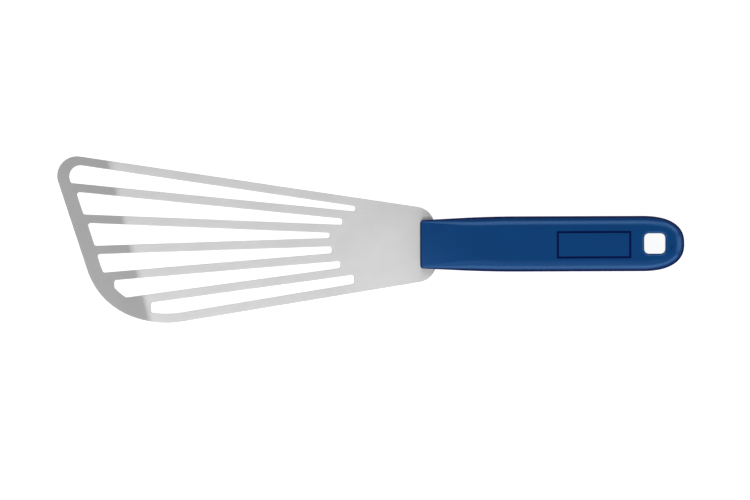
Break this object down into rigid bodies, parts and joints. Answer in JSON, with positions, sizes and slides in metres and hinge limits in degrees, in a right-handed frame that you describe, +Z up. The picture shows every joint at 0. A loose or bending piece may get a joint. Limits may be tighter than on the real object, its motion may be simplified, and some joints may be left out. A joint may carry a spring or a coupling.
{
  "type": "fish spatula",
  "caption": "Slotted stainless steel fish turner with a skewed, upturned tip and a moulded plastic handle with a square hanging hole.",
  "frame": {"origin": "on the table, under the centre of the hanging hole", "axes": "+X along the handle from the blade to the hanging end, +Z up from the table, +Y towards the side of the blade whose front corner reaches furthest"},
  "size_m": [0.3002, 0.08, 0.0128],
  "materials": {
    "stainless_sheet": "fine satin, lightly brushed along the blade",
    "moulded_handle": "dark blue polypropylene with a fine satin mould texture"
  },
  "bodies": {
    "root": {"blade": "stainless_sheet", "handle": "moulded_handle"}
  },
  "joints": []
}
